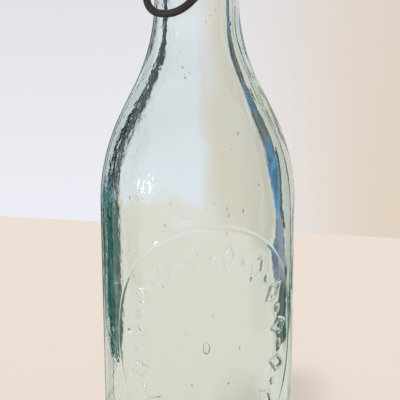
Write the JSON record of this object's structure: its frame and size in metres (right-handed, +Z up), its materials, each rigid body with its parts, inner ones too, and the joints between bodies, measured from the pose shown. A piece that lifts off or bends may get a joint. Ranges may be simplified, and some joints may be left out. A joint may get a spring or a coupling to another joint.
{
  "type": "swing top bottle",
  "caption": "Blown aqua glass blob-top bottle with a wire tie, lever and yoke that clamp a porcelain stopper and rubber gasket on its mouth.",
  "frame": {"origin": "on the bottle's axis, at the level of the ring it stands on", "axes": "+Z up the bottle; +X along the hinge line of the closure; -Y towards the lever's thumb loop"},
  "size_m": [0.0635, 0.0634, 0.2513],
  "materials": {
    "aqua_glass": "clear, seeded",
    "tie_wire": "rusted iron wire",
    "bail_wire": "rusted iron wire",
    "porcelain": "glazed",
    "gasket_rubber": "aged red rubber"
  },
  "bodies": {
    "bottle": {"glass_bottle": "aqua_glass", "neck_tie": "tie_wire"},
    "lever": {"lever_bail": "bail_wire"},
    "yoke": {"yoke_bail": "bail_wire"},
    "stopper": {"porcelain_stopper": "porcelain", "rubber_gasket": "gasket_rubber"}
  },
  "joints": [
    {"name": "lever_swing", "type": "hinge", "parent": "bottle", "child": "lever", "pos_m": [0, 0, 0.20922], "axis": [-1, 0, 0], "range_deg": [0, 125]},
    {"name": "yoke_swing", "type": "hinge", "parent": "lever", "child": "yoke", "pos_m": [0, 0.0009, 0.20222], "axis": [-1, 0, 0], "range_deg": [-108, 2]},
    {"name": "stopper_tilt", "type": "hinge", "parent": "yoke", "child": "stopper", "pos_m": [0, 0, 0.24379], "axis": [-1, 0, 0], "range_deg": [-22.5, 1]}
  ],
  "couplings": [
    {"joint": "yoke_swing", "follows": "lever_swing", "ratio": -0.83159},
    {"joint": "stopper_tilt", "follows": "lever_swing", "ratio": -0.16841}
  ]
}
